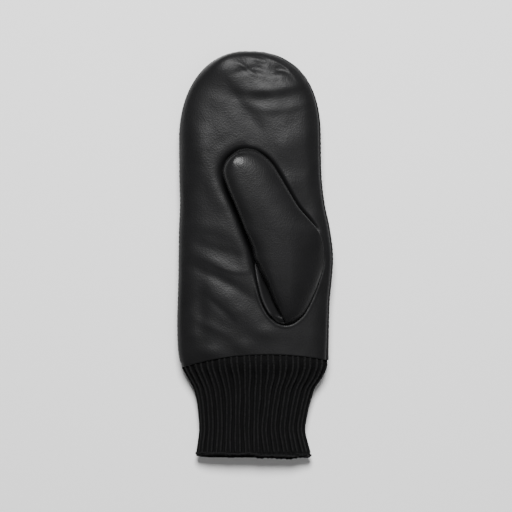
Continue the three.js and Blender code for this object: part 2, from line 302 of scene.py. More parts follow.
palmSwells = [
    (-24, 133, 13, 13, 2.8),
    (-23, 122, 13, 13, 0.6),
    (-44, 76, 5.5, 18, 0.35),
    (8, 121.5, 14, 4.5, 0.4),
    (22, 74, 11, 10, 1.3),
    (34, 82, 7, 20, 1.0),
    (-37, 64, 9, 20, 1.3),
    (30, 33, 9, 13, -1.0),
    (-12, 76, 15, 12, -0.7),
    (-25, 78, 17, 12, 0.9),
    (-2, 90, 6, 12, -0.3),
    (9, 125, 17, 4.6, -0.70),
    (0.5, 123.5, 4.0, 2.8, -0.45),
    (13.5, 122.5, 5.0, 2.8, -0.45),
    (-36, -32, 4.5, 16, -0.8),
    (-42, -52, 6, 5, 0.6),
    (-29, -63, 8, 5, 0.9),
    (-8, -59, 7, 5, 0.6),
    (7, -50, 8, 5, 0.6),
]


def handRow(y):
    row = along(handRows, handRows["y"], np.minimum(y, hand["shoulderY"]))
    share = np.clip((y - hand["shoulderY"]) / (hand["tipY"] - hand["shoulderY"]), 0, 1)

    def closing(power):
        return (1 - share ** power) ** (1 / power)

    row["left"] = hand["tipX"] + (row["left"] - hand["tipX"]) * closing(hand["leftPower"])
    row["right"] = hand["tipX"] + (row["right"] - hand["tipX"]) * closing(hand["rightPower"])
    row["middle"] = row["middle"] + (hand["tipMiddle"] - row["middle"]) * share * share
    row["rise"] = row["rise"] * closing(hand["risePower"])
    return row


def seamHeightAt(x):
    return hand["seamHeight"] + hand["seamTilt"] * x


def handSection(row, turn):
    return section(row, turn, hand["roundness"], hand["sag"])[:2]


def handSkin(turn, y):
    x, z = handSection(handRow(y), turn)
    return np.stack([x, y + 0 * x, z], axis=-1)


def palmRelief(x, y, up):
    # the folds and swells of the palm, fading out towards its sides
    fade = smooth(up, *hand["foldFade"])
    return fade * (foldHeight(palmFolds, x, y) + swellHeight(palmSwells, x, y))


def palmTop(x, y):
    # height of the palm's skin above a point of the table
    row = handRow(y)
    half = (row["right"] - row["left"]) / 2
    across = np.clip(np.abs(x - (row["right"] + row["left"]) / 2) / half, 0, 1)
    up = (1 - across ** hand["roundness"]) ** (1 / hand["roundness"])
    return row["middle"] + row["rise"] * up


def seamTurn(y, low, high, gap):
    # where the section's outline passes the seam plane, between a turn below it and one above
    row = handRow(y)
    low, high = low + 0 * y, high + 0 * y
    for _ in range(40):
        middle = (low + high) / 2
        x, z = handSection(row, middle)
        above = z > seamHeightAt(x) + gap
        low, high = np.where(above, low, middle), np.where(above, middle, high)
    return (low + high) / 2


def handGrid(stations, turnFrom, turnTo, count):
    # points evenly spaced across each section, closer at its two ends, with the arched hem below
    edge = np.array(hand["edgeSteps"])
    share = np.linspace(0, 1, 1201)
    turns = np.zeros((len(stations), count))
    for r, y in enumerate(stations):
        dense = turnFrom[r] + (turnTo[r] - turnFrom[r]) * share
        row = handRow(np.full(dense.shape, y))
        arc = travelledAlong(*handSection(row, dense))
        near = edge * min(1, arc[-1] / hand["edgeArc"])
        spread = np.linspace(near[-1], arc[-1] - near[-1], count - 2 * len(edge) + 2)
        at = np.concatenate([near[:-1], spread, arc[-1] - near[-2::-1]])
        turns[r] = np.interp(at, arc, dense)
    y = np.repeat(stations[:, None], count, axis=1)
    firstX = handSection(handRow(y[0]), turns[0])[0]
    hemY = hand["hemCrestY"] - hand["hemDrop"] * (firstX - hand["hemCrestX"]) ** 2
    reach = smooth(y, hand["archFrom"], stations[0])
    return turns, y + (hemY - stations[0])[None, :] * reach


def handStations(lastY, count, tipCount):
    # the places along Y of the sections, close together at the hem and towards the fingertips
    hem = hand["hemY"] + np.array(hand["hemSteps"])
    body = np.linspace(hand["hemY"] + 1, hand["shoulderY"], count)
    turn = np.linspace(0, 1, tipCount)[1:]
    tip = hand["shoulderY"] + (lastY - hand["shoulderY"]) * np.sin(pi / 2 * turn)
    return np.concatenate([hem, body, tip])


def dive(distance, radius):
    # how far a sewn edge rolls under at a distance from its seam
    inside = np.clip(1 - distance / radius, 0, 1)
    return radius * (1 - np.sqrt(1 - inside * inside))


def seamRoll(points, distance, roundness, puckered=True):
    # a rolled edge with a low bead beside it, puckered where the stitches that hold it show
    pucker = 0.5 + 0.5 * np.sin(2 * pi * (points[..., 1] + 0.6 * points[..., 0]) / hand["stitchLength"])
    bead = nearLine(distance - hand["beadAway"], hand["beadWidth"])
    return hand["beadHeight"] * bead * (0.75 + 0.5 * pucker * puckered) - dive(distance, roundness)


# The thumb: sections along it from the heel, which dives into the palm, to the tip.
thumb = {
    "wall": 1.6, "rows": 200, "count": 160, "sink": 1.5, "waves": ((22.0, 4, 0.15), (8.0, 5, 0.07)),
    "bead": 0.3, "beadWidth": 0.8, "beadLow": 2.0, "beadFrom": (16, 26), "beadFull": (44, 58),
    "beadFaint": 0.35, "places": ((0, 0.12, 0.88, 1), (0, 2.6, 14.4, 17)),
    "seamRound": 0.9, "seamDeep": 1.5, "outerShallow": 0.5, "outerFrom": (16, 28), "holeInside": 3.0,
    "sewnInner": (6, -2), "sewnOuter": (4, -8), "sewnAcross": (12, 24),
    # painted highlights: a pale line beside the thumb's outer seam (strength, distance, spread) and one
    # along the roll at its inner seam
    "thumbSeamHighlight": 0.3, "thumbHighlightAway": 0.9, "thumbHighlightSpread": 0.5, "rollHighlight": 0.5, "rollHighlightAway": 1.3, "rollHighlightSpread": 0.8,
    "rollEnd": (2, -6), "tightFrom": (54, 61), "tightAcross": (-5, -10),
    "dullSpread": 1.6, "dullFrom": (-14, -2), "dullTo": (18, 10),
    "rollHeight": 6.0, "rollPower": 0.85, "rollShare": 0.85, "creaseFloor": 0.3, "creaseFill": 0.5,
    "creaseEnd": (-41.5, -36.5), "shoulderDrop": 3.0, "shoulderWidth": 2.6, "shoulderFrom": (-38, -18),
}
thumbSteps = table("step y left right bottom top crest round boxRight fall", [
    (0, -45.0, 18.6, 21.0, 19.5, 21.5, 0.50, 2.0, 0.0, 0.0),
    (1, -44.2, 15.2, 23.6, 17.0, 26.4, 0.50, 2.2, 0.0, 0.4),
    (2, -41.5, 11.8, 27.4, 14.0, 30.0, 0.48, 2.7, 0.6, 1.8),
    (3, -37.0, 7.7, 31.6, 12.0, 33.2, 0.46, 3.3, 1.6, 4.4),
    (4, -28.5, 3.4, 36.2, 8.0, 36.2, 0.43, 3.9, 2.8, 7.6),
    (5, -17.2, 0.6, 40.8, 6.0, 38.4, 0.40, 4.2, 3.4, 9.8),
    (6, -6.0, -1.0, 43.9, 6.0, 39.6, 0.38, 4.2, 3.6, 10.8),
    (7, 4.0, -2.5, 44.3, 9.0, 40.3, 0.37, 4.0, 3.6, 10.2),
    (8, 11.0, -4.8, 43.0, 18.0, 40.6, 0.36, 3.7, 2.8, 8.2),
    (9, 17.0, -7.2, 40.3, 25.2, 40.9, 0.35, 3.4, 1.4, 6.0),
    (10, 24.0, -9.9, 34.6, 25.6, 41.3, 0.34, 3.1, 0.4, 4.6),
    (11, 33.0, -13.5, 27.0, 25.4, 41.9, 0.33, 3.0, 0.0, 3.8),
    (12, 44.0, -18.3, 20.5, 25.2, 42.4, 0.32, 2.9, 0.0, 3.0),
    (13, 54.5, -21.4, 14.4, 25.2, 42.6, 0.30, 2.6, 0.0, 2.2),
    (14, 61.0, -19.9, 9.9, 25.6, 42.2, 0.24, 2.4, 0.0, 2.2),
    (15, 66.0, -15.8, 4.6, 26.6, 40.4, 0.24, 2.2, 0.0, 1.2),
    (16, 69.2, -11.2, -0.6, 29.0, 36.4, 0.36, 2.1, 0.0, 0.0),
    (17, 70.2, -7.2, -5.4, 31.6, 32.4, 0.50, 2.2, 0.0, 0.0),
])
# the crease beside the thumb's body, and the little roll of leather between it and the inner seam
creaseLine = table("y x", [
    (-43.5, 18.4), (-40.6, 17.4), (-35.6, 14.8), (-27.0, 10.0),
    (-19.1, 6.7), (-10.0, 2.7), (-1.0, -0.8), (6.0, -3.1),
])


def thumbOutline(here):
    # the outline at one y, anticlockwise from the middle of its underside
    y = here["y"]
    dense = np.linspace(-pi / 2, 3 * pi / 2, 1441)
    palmZ = palmTop(np.array([here["left"] + 3.0]), np.array([y]))[0]
    crease = along({"x": creaseLine["x"]}, creaseLine["y"], np.array([y]))["x"][0]
    rollWidth = crease - here["left"]
    if y < creaseLine["y"][0] or y > creaseLine["y"][-1] or rollWidth < 0.4:
        x, z, _ = section(here, dense, here["round"])
        return x, z
    share, swelling = smooth(rollWidth, 0.4, 2.0), smooth(rollWidth, 0.4, 5.5)
    body = dict(here)
    body["left"] = here["left"] + rollWidth * share
    body["crest"] = (here["left"] + (here["right"] - here["left"]) * here["crest"] - body["left"]) / (
        here["right"] - body["left"])
    x, z, up = section(body, dense, here["round"])
    beside = nearLine(x - body["left"], thumb["shoulderWidth"])
    opened = smooth(y, *thumb["creaseEnd"])
    drop = thumb["shoulderDrop"] * smooth(y, *thumb["shoulderFrom"]) * smooth(rollWidth, 0.4, 7.0)
    z = z - drop * beside * smooth(up, 0, 0.5)
    floorZ = palmZ + thumb["creaseFloor"] + (1 - opened) * thumb["creaseFill"] * (here["top"] - palmZ)
    rollTop = np.minimum(thumb["rollHeight"] * swelling, thumb["rollShare"] * (here["top"] - floorZ))
    above = (dense < pi / 2) | (z > floorZ)
    last = np.nonzero(above)[0][-1]
    x, z = x[: last + 1], z[: last + 1]
    away = np.sin(pi / 2 * np.linspace(0, 1, 60)[1:])
    rollX = x[-1] + (here["left"] - x[-1]) * away
    rollRise = rollTop * away ** thumb["rollPower"] * np.sqrt(1 - away ** 12)
    rollZ = floorZ + rollRise - (floorZ - palmZ) * away
    under = np.linspace(0, 1, 120)[1:]
    underX = here["left"] + (x[0] - here["left"]) * under
    underZ = palmZ + (here["bottom"] - palmZ) * np.sin(pi / 2 * np.clip(under * 3, 0, 1))
    return np.concatenate([x, rollX, underX]), np.concatenate([z, rollZ, underZ])


def thumbSkin():
    # the sections are closer together near the heel and the tip
    steps = np.interp(np.linspace(0, 1, thumb["rows"]), *thumb["places"])
    row = along(thumbSteps, thumbSteps["step"], steps)
    grid = np.zeros((len(steps), thumb["count"], 3))
    for r in range(len(steps)):
        here = {name: values[r] for name, values in row.items()}
        here["middle"] = (here["bottom"] + here["top"]) / 2
        here["rise"] = (here["top"] - here["bottom"]) / 2
        x, z = thumbOutline(here)
        arc = travelledAlong(x, z)
        at = np.linspace(0, arc[-1], thumb["count"] + 1)[:-1]
        grid[r] = np.stack([np.interp(at, arc, x), here["y"] + 0 * at, np.interp(at, arc, z)], axis=-1)
    tip = np.repeat(grid[-1:].mean(axis=1, keepdims=True), thumb["count"], axis=1)
    return np.concatenate([grid, tip])


def footprintOf(grid):
    # the closed line on the table plan where the thumb's skin meets the palm's
    height = grid[..., 2] - palmTop(grid[..., 0], grid[..., 1])
    left, right = [], []
    for r in range(len(grid)):
        signs = height[r] > 0
        change = np.nonzero(signs != np.roll(signs, -1))[0]
        for i in change:
            j = (i + 1) % grid.shape[1]
            t = height[r, i] / (height[r, i] - height[r, j])
            place = grid[r, i] + t * (grid[r, j] - grid[r, i])
            (right if signs[j] else left).append(place)
    path = np.array(right + left[::-1])
    return np.concatenate([path, path[:1]])


def insideLine(x, y, line):
    # which points of the plan lie inside a closed line
    inside = np.zeros(x.shape, bool)
    for (x1, y1, _), (x2, y2, _) in zip(line[:-1], line[1:]):
        if y1 == y2:
            continue
        crosses = ((y1 > y) != (y2 > y)) & (x < (x2 - x1) * (y - y1) / (y2 - y1) + x1)
        inside ^= crosses
    return inside


def outlineOf(grid):
    # the thumb's outline seen from above, up the thumb's side and back down the other
    rows = np.arange(len(grid))
    right, left = grid[rows, grid[..., 0].argmax(axis=1)], grid[rows, grid[..., 0].argmin(axis=1)]
    return flattened(np.concatenate([right, left[::-1]]))


thumbGrid = thumbSkin()
footprint = footprintOf(thumbGrid)
thumbEdge = finePath(outlineOf(thumbGrid), 0.3)
print("thumb footprint", len(footprint))

# The palm and back panels.
def skinEnd(gap):
    # the last place along the hand where its top still reaches the seam plane, raised by a gap
    low, high = hand["shoulderY"], hand["tipY"]
    for _ in range(40):
        middle = (low + high) / 2
        row = handRow(np.array([middle]))
        topZ, topX = row["middle"] + row["rise"], (row["left"] + row["right"]) / 2
        low, high = (middle, high) if topZ[0] > seamHeightAt(topX[0]) + gap else (low, middle)
    return low


palmEnd, backEnd = skinEnd(hand["seamGap"] / 2), skinEnd(-hand["seamGap"] / 2)


def panel(upper, rows, tipRows, count):
    # the skin's grid over the palm, or under the back, from seam to seam
    stations = handStations(palmEnd, rows, tipRows)
    if not upper:  # the back goes on to where its two edges meet, and then to the very tip
        stations = np.concatenate([stations, [backEnd, hand["tipY"]]])
    gap = hand["seamGap"] / 2 * (1 if upper else -1)
    rightTurn = seamTurn(stations, -pi / 2, pi / 2, gap)
    leftTurn = seamTurn(stations, 3 * pi / 2, pi / 2, gap)
    if upper:
        turns, y = handGrid(stations, rightTurn, leftTurn, count)
    else:
        turns, y = handGrid(stations, leftTurn, rightTurn + 2 * pi, count)
    return handSkin(turns, y)


def seamLine():
    # the closed run of the seam between palm and back, from the hem round the fingertips
    stations = handStations(palmEnd, 260, 200)
    right = handSkin(seamTurn(stations, -pi / 2, pi / 2, 0.0), stations)
    left = handSkin(seamTurn(stations, 3 * pi / 2, pi / 2, 0.0), stations)
    return finePath(np.concatenate([right, left[::-1]]), 0.15)


sideSeam = seamLine()

# the palm gives way under the free part of the thumb, steeply at its edge, and swells up beside it
nest = {
    "depth": 1.2, "width": 3.6, "rightWidth": 1.8, "edgeDepth": 3.5, "rightDepth": 2.6,
    "edgeWidth": 1.7, "edgeRightWidth": 1.2,
    "freeLeft": (-26.0, 6.0), "freeRight": (14.0, 25.0),
    "swell": 0.30, "swellAway": 6.5, "swellWidth": 3.8, "tipFrom": (64.0, 73.0), "tipShare": 0.65,
}


def nestHeight(grid):
    # how the palm gives way to the thumb at each point
    x, y = grid[..., 0], grid[..., 1]
    apart = distanceTo(flattened(grid), thumbEdge)
    inside = insideLine(x, y, thumbEdge)
    away = np.where(inside, 0, apart)
    middleX = np.interp(y, thumbGrid[:, 0, 1], thumbGrid[..., 0].mean(axis=1))
    onLeft = smooth(middleX - x, -4, 4)
    onFree = onLeft * smooth(y, *nest["freeLeft"]) + (1 - onLeft) * smooth(y, *nest["freeRight"])
    width = nest["rightWidth"] + (nest["width"] - nest["rightWidth"]) * onLeft
    edgeWidth = nest["edgeRightWidth"] + (nest["edgeWidth"] - nest["edgeRightWidth"]) * onLeft
    edgeDepth = nest["rightDepth"] + (nest["edgeDepth"] - nest["rightDepth"]) * onLeft
    dip = nest["depth"] * nearLine(away, width) + edgeDepth * nearLine(away, edgeWidth)
    swell = nest["swell"] * nearLine(away - nest["swellAway"], nest["swellWidth"]) * onLeft
    atTip = smooth(y, *nest["tipFrom"])
    return onFree * (swell * ~inside - dip * (1 - nest["tipShare"] * atTip))


def sewnShare(grid):
    # 1 where the thumb is sewn to the palm, 0 where it lies free, with a softer start on the outer side
    inner = smooth(grid[..., 1], *thumb["sewnInner"])
    outer = smooth(grid[..., 1], *thumb["sewnOuter"])
    return inner + (outer - inner) * smooth(grid[..., 0], *thumb["sewnAcross"])


def finishPanel(name, grid, upper):
    # soft waves and rolled edges for a panel; the palm also has its folds and the hole for the thumb
    x, y = grid[..., 0], grid[..., 1]
    normals = gridNormals(grid)
    seamDistance = distanceTo(grid, sideSeam)
    hemDistance = distanceTo(grid, finePath(grid[0], 0.15))
    move = softness(grid, hand["waves"]) * smooth(seamDistance, 0, hand["waveFree"])
    lift = 0
    if upper:
        row = handRow(y)
        up = (grid[..., 2] - row["middle"]) / np.maximum(row["rise"], 0.1)
        lift = palmRelief(x, y, up)
        pad = swellHeight([hand["pad"]], x, y)
        move = move + nestHeight(grid) + waviness(grid, *hand["padWave"]) * pad
    move = move + seamRoll(grid, seamDistance, hand["seamRound"]) - dive(hemDistance, hand["hemRound"])
    keep = None
    # painted highlight: a pale line just inside the side seam, where its rolled edge would catch the
    # light
    masks = {"seam": nearLine(seamDistance - hand["highlightAway"], hand["highlightSpread"])}
    if upper:
        apart = distanceTo(flattened(grid), flattened(finePath(footprint, 0.3)))
        signed = np.where(insideLine(x, y, footprint), -apart, apart)
        outside = np.clip(signed, 0, None)
        sewn = sewnShare(grid)
        outer = smooth(x, *thumb["outerFrom"])
        deeper = thumb["seamDeep"] - thumb["outerShallow"] * outer
        move = move + deeper * sewn * np.where(
            signed > 0, seamRoll(grid, outside, thumb["seamRound"], False), -thumb["seamRound"]
        )
        # painted highlight: a pale line on the palm beside the thumb's outer seam, where its rolled edge
        # would catch the light
        thumbSeamHighlight = outer * sewn * thumb["thumbSeamHighlight"] * nearLine(signed - thumb["thumbHighlightAway"], thumb["thumbHighlightSpread"])
        masks["seam"] = np.maximum(masks["seam"], thumbSeamHighlight)
        inner = signed < -thumb["holeInside"]
        keep = ~(inner[:-1, :-1] & inner[1:, :-1] & inner[:-1, 1:] & inner[1:, 1:])
    shaped = grid + normals * move[..., None]
    shaped[..., 2] += lift
    shaped[..., 2] = np.maximum(shaped[..., 2], 0)
    if not upper:  # the two edges are one point where they meet
        shaped[-2, [0, -1]] = shaped[-2, [0, -1]].mean(axis=0)
    made = sheetObject(name, shaped, keep, masks=masks)
    return thicken(made, hand["wall"])


palmPiece = finishPanel("leather_palm", panel(True, 190, 60, 150), True)
backPiece = finishPanel("leather_back", panel(False, 150, 60, 120), False)
print("palm and back panels", len(palmPiece.data.polygons), len(backPiece.data.polygons))


def makeThumb():
    # the thumb's leather: rolled in along the seam, and cut off where it dives into the palm
    x, y, z = np.moveaxis(thumbGrid, -1, 0)
    normals = gridNormals(thumbGrid, wrap=True)
    height = z - palmTop(x, y)
    attached = sewnShare(thumbGrid)
    soft = softness(thumbGrid, thumb["waves"])
    near = np.clip(height, 0, None)
    widest = (z.max(axis=1) + z.min(axis=1))[:, None] / 2
    bead = nearLine(z - widest + thumb["beadLow"], thumb["beadWidth"])
    fuller = thumb["beadFaint"] + (1 - thumb["beadFaint"]) * smooth(y, *thumb["beadFull"])
    bead = bead * smooth(y, *thumb["beadFrom"]) * fuller
    move = soft * smooth(height, 0, 8) - attached * dive(near, thumb["seamRound"]) + thumb["bead"] * bead
    shaped = thumbGrid + normals * move[..., None]
    low = height < -thumb["sink"]
    lowBeside = np.roll(low, -1, axis=1)
    keep = ~(low[:-1] & low[1:] & lowBeside[:-1] & lowBeside[1:])
    fromEdge = x - x.min(axis=1)[:, None]
    fromRight = x.max(axis=1)[:, None] - x
    # where a highlight is painted along the lit edge of the roll of leather beside the inner seam
    onRoll = nearLine(fromEdge - thumb["rollHighlightAway"], thumb["rollHighlightSpread"]) * smooth(y, *thumb["rollEnd"])
    dull = nearLine(fromRight, thumb["dullSpread"]) * smooth(y, *thumb["dullTo"])
    masks = {
        # painted highlight on the roll; tight and dull only change the roughness
        "seam": attached * thumb["rollHighlight"] * onRoll * smooth(near, 0.6, 1.6),
        "tight": smooth(y, *thumb["tightFrom"]) * smooth(x, *thumb["tightAcross"]),
        "dull": dull * smooth(y, *thumb["dullFrom"]),
    }
    made = sheetObject("leather_thumb", shaped, keep, wrap=True, masks=masks)
    return thicken(made, thumb["wall"])


thumbPiece = makeThumb()
print("thumb", len(thumbPiece.data.polygons))

# The knit cuff: a ribbed tube that follows the same sections, with stitches laid over it.
cuff = {
    "roundness": 2.7, "ribs": 26, "pointsPerRib": 16, "rows": 64, "ribDepth": 1.4, "wall": 2.4,
    "hemRound": 0.9, "hemY": -131.6, "topY": -60.5,
    "ribPhase": 0.125, "waleApart": 0.44, "waleWidth": 0.10, "stripWidth": 0.13, "stripHeight": 0.32,
    "waleTop": 1.05, "wander": 0.0015, "bindFrom": -130.2, "bindEnd": 0.6, "bindShare": 0.95,
    "tuckFrom": (-80, -68), "tuckShare": 0.75, "sunk": 0.35, "waleRise": 0.6, "ribWall": 0.3,
    "hemLow": (18.0, 16.0, 1.2), "hemDrawn": (-27, -38),
    "hemWaves": ((2.9, 0.6, 0.22), (1.7, 0.0, 0.14)),
    "stitchHeight": 1.7, "yarn": 0.29, "seed": 7, "firstStitch": 0.35, "stitchOut": 0.55,
    "stitchFloor": 0.8, "edgeStitches": 88, "edgeUp": 0.5, "edgeRagged": 0.5, "edgeOut": 0.5,
}
cuffRows = table("y left right middle rise sag hemLean", [
    (-60.5, -49.0, 46.4, 12.3, 11.3, 0.0, 0.0),
    (-68.0, -48.8, 46.4, 12.1, 11.2, 0.3, 0.0),
    (-73.2, -48.0, 46.1, 11.6, 10.9, 0.6, 0.0),
    (-79.5, -44.8, 43.3, 10.4, 10.4, 1.4, 0.0),
    (-87.0, -40.8, 38.4, 9.6, 9.6, 1.5, 0.0),
    (-95.0, -38.7, 35.7, 9.2, 9.2, 1.5, 0.0),
    (-105.0, -37.5, 33.3, 8.9, 8.9, 1.5, 0.3),
    (-115.0, -37.0, 32.0, 8.8, 8.8, 1.5, 0.8),
    (-123.5, -38.0, 33.8, 9.0, 9.0, 1.5, 1.3),
    (-131.6, -39.2, 36.1, 9.2, 9.2, 1.5, 1.6),
])


def cuffSkin(y, around):
    # points round the cuff at each y; around runs from 0 to 1 from the thumb's side over the top
    row = along(cuffRows, cuffRows["y"], y)
    dense = np.linspace(0, 2 * pi, 1441)
    grid = np.zeros((len(y), len(around), 3))
    for r in range(len(y)):
        here = {name: values[r] for name, values in row.items()}
        x, z, _ = section(here, dense, cuff["roundness"], here["sag"])
        arc = travelledAlong(x, z)
        half = arc[len(dense) // 2]
        drift = np.sin(y[r] / 9 + 44 * around) + 0.7 * np.sin(y[r] / 4.7 - 88 * around)
        share = (around + cuff["wander"] * drift * np.sin(2 * pi * around) ** 2) % 1
        travelled = np.where(share < 0.5, 2 * share * half, half + (2 * share - 1) * (arc[-1] - half))
        turn = np.interp(travelled, arc, dense)
        x, z, _ = section(here, turn, cuff["roundness"], here["sag"])
        lean = here["hemLean"] * (z - here["middle"]) / here["rise"]
        grid[r] = np.stack([x, y[r] + lean, z], axis=-1)
    return grid


def ribShare(phase):
    # where a point lies on its rib: 0 at the rib's middle, -0.5 and 0.5 in the grooves
    return (phase - cuff["ribPhase"] + 0.5) % 1 - 0.5


def betweenWales(phase):
    # 1 on the strip between the two wales of a rib
    return nearLine(ribShare(phase), cuff["stripWidth"])


def waleHeight(phase):
    # 1 on the two raised wales of a rib, 0 in the deep groove between ribs
    wales = nearLine(np.abs(ribShare(phase)) - cuff["waleApart"] / 2, cuff["waleWidth"])
    return np.clip(wales + cuff["stripHeight"] * betweenWales(phase), 0, cuff["waleTop"])


def hemDrop(x):
    # the hem hangs a little lower on the thumb's side, is drawn up at the other corner and waves between
    wave = sum(height * np.sin(x / size + shift) for size, shift, height in cuff["hemWaves"])
    lowX, lowWidth, low = cuff["hemLow"]
    return low * nearLine(x - lowX, lowWidth) - smooth(x, *cuff["hemDrawn"]) + wave


def makeCuff():
    # a closed tube: the ribbed outside, the rounded hem, the inside and back to the top
    count = cuff["ribs"] * cuff["pointsPerRib"]
    around = np.arange(count) / count
    phase = (around * cuff["ribs"]) % 1
    y = np.linspace(cuff["topY"], cuff["hemY"], cuff["rows"])
    outer = cuffSkin(y, around)
    normals = gridNormals(outer[::-1], wrap=True)[::-1]
    ribs = waleHeight(phase)[None, :]
    atHem = smooth(y, cuff["bindFrom"], cuff["hemY"] + cuff["bindEnd"])[:, None]
    bound = cuff["bindShare"] * atHem + cuff["tuckShare"] * smooth(y, *cuff["tuckFrom"])[:, None]
    sunk = cuff["ribDepth"] * (1 - ribs) * (1 - bound) + cuff["sunk"] * (1 - bound)
    sunk = sunk - cuff["waleRise"] * np.maximum(ribs, bound)
    grooved = outer - normals * sunk[..., None]
    lowest = 0.05 + np.maximum(sunk, 0)
    grooved[..., 2] = np.maximum(grooved[..., 2], lowest)
    inner = outer - normals * (cuff["wall"] - cuff["ribWall"] * ribs)[..., None]
    inner[..., 2] = np.maximum(inner[..., 2], cuff["wall"])
    hem = (grooved[-1] + inner[-1]) / 2
    hem[:, 1] -= cuff["hemRound"] * (0.3 + 0.7 * ribs[0]) + hemDrop(hem[:, 0])
    lower = np.array([0, cuff["hemRound"] * 0.55, 0])
    hemOut, hemIn = (grooved[-1] * 3 + hem) / 4 - lower, (inner[-1] * 3 + hem) / 4 - lower
    closed = np.concatenate([grooved, hemOut[None], hem[None], hemIn[None], inner[::-1], grooved[:1]])
    # where the raised strip between a rib's two wales is painted lighter than the tube's painted-shade
    # grooves
    stripLift = np.repeat(betweenWales(phase)[None, :], len(closed), axis=0)
    return sheetObject("knit_cuff", closed[::-1], wrap=True, masks={"stripLift": stripLift})


cuffPiece = makeCuff()
print("knit tube", len(cuffPiece.data.polygons))


def cuffRuns(y, around):
    # the way round the cuff at each point of it
    return cuffSkin(y, (around + 0.001) % 1) - cuffSkin(y, (around - 0.001) % 1)


def facing(first, second):
    across = np.cross(first, second)
    return across / np.linalg.norm(across, axis=2, keepdims=True)


def stitchGuide():
    # one point for each knit stitch, with the way into the tube, the way its wale runs and its width
    length = cuff["topY"] - cuff["hemY"]
    rows = int(length / cuff["stitchHeight"])
    y = cuff["hemY"] + cuff["stitchHeight"] * (np.arange(rows) + cuff["firstStitch"])
    y = y[(y < cuff["topY"] - 1) & (y > cuff["hemY"] + 0.9)]
    half = cuff["waleApart"] / 2
    wales = [rib + cuff["ribPhase"] + side for rib in range(cuff["ribs"]) for side in (-half, half)]
    around = np.array(wales) / cuff["ribs"] % 1
    grid = cuffSkin(y, around)
    ahead = np.gradient(grid, axis=0)
    inward = facing(cuffRuns(y, around), ahead)
    width = np.linalg.norm(np.roll(grid, -1, axis=1) - grid, axis=2)
    width = np.minimum(width, np.roll(width, 1, axis=1))
    place = grid - inward * cuff["stitchOut"]
    place[..., 2] = np.maximum(place[..., 2], cuff["stitchFloor"])
    # the cast-off row runs round the hem instead of up the wales
    edgeY = np.array([cuff["hemY"] + cuff["edgeUp"]])
    edgeAround = np.arange(cuff["edgeStitches"]) / cuff["edgeStitches"]
    edge = cuffSkin(edgeY, edgeAround)
    edgeRuns = cuffRuns(edgeY, edgeAround)
    edgeInward = facing(edgeRuns, np.array([0.0, 1.0, 0.0]))
    edge = edge - edgeInward * cuff["edgeOut"]
    ragged = np.random.default_rng(cuff["seed"]).uniform(-1, 1, edge.shape[:2])
    edge[..., 1] -= hemDrop(edge[..., 0]) + cuff["edgeRagged"] * ragged
    edge[..., 2] = np.maximum(edge[..., 2], cuff["stitchFloor"])
    columns = {
        "inward": (inward, edgeInward), "runs": (ahead, edgeRuns),
        "width": (width, np.ones(len(edgeAround))),
    }
    mesh = bpy.data.meshes.new("stitchGuide")
    points = np.concatenate([place.reshape(-1, 3), edge.reshape(-1, 3)])
    mesh.from_pydata((points * millimetre).tolist(), [], [])
    for name, (upWales, roundHem) in columns.items():
        kind, field = ("FLOAT", "value") if name == "width" else ("FLOAT_VECTOR", "vector")
        attribute = mesh.attributes.new(name, kind, "POINT")
        values = np.concatenate([upWales.reshape(-1), roundHem.reshape(-1)])
        attribute.data.foreach_set(field, values.astype(np.float32))
    return sceneObject("knit_stitches", mesh)


class Shader:
    # one output socket of a material's tree; operators on it add Math nodes
    def __init__(self, tree, socket=None):
        self.tree, self.socket = tree, socket

    def node(self, kind, settings=None, inputs=None, output=0):
        made = self.tree.nodes.new(kind)
        for name, value in (settings or {}).items():
            setattr(made, name, value)
        for name, value in (inputs or {}).items():
            if isinstance(value, Shader):
                self.tree.links.new(value.socket, made.inputs[name])
            else:
                made.inputs[name].default_value = value
        return Shader(self.tree, made.outputs[output] if len(made.outputs) else None)

    def noise(self, place, size, detail, settings=None, **inputs):
        # noise with features of a size in millimetres
        inputs = {"Vector": place, "Scale": perMetre / size, "Detail": detail, **inputs}
        return self.node("ShaderNodeTexNoise", settings, inputs)

    def mask(self, name):
        return self.node("ShaderNodeAttribute", {"attribute_name": name}, output="Fac")

    def blend(self, share, first, second):
        inputs = {0: share, 6: first, 7: second}
        return self.node("ShaderNodeMix", {"data_type": "RGBA"}, inputs, output=2)

    def bump(self, strength, depth, height, **inputs):
        # relief with a depth in millimetres
        inputs = {"Strength": strength, "Distance": depth * millimetre, "Height": height, **inputs}
        return self.node("ShaderNodeBump", None, inputs)

    def surface(self, inputs):
        made = self.node("ShaderNodeBsdfPrincipled", None, inputs)
        self.node("ShaderNodeOutputMaterial", None, {"Surface": made})

    def maths(self, operation, *values):
        return self.node("ShaderNodeMath", {"operation": operation}, dict(enumerate(values)))

    def __add__(self, other):
        return self.maths("ADD", self, other)

    __radd__ = __add__

    def __mul__(self, other):
        return self.maths("MULTIPLY", self, other)

    __rmul__ = __mul__

    def __sub__(self, other):
        return self.maths("SUBTRACT", self, other)

    def __rsub__(self, other):
        return self.maths("SUBTRACT", other, self)


def newMaterial(name):
    made = bpy.data.materials.new(name)
    made.use_nodes = True
    tree = made.node_tree
    tree.nodes.clear()
    return made, Shader(tree)


leatherLook = {
    "dark": (0.0065, 0.0065, 0.0068, 1), "pale": (0.0105, 0.0105, 0.0110, 1), "ior": 1.22,
    "mottleSize": 18, "fineSize": 0.5, "fineDepth": 0.012, "grainSize": 0.85, "grainDepth": 0.10,
    # the pale colour here paints highlights along the seams; the leather itself is not this pale
    "grainRough": 0.05, "creaseSize": 3.4, "creaseDepth": 0.08, "highlightColour": (0.028, 0.028, 0.029, 1),
    "roughLow": 0.33, "roughHigh": 0.45, "polish": 0.14, "dulling": 0.45,
}


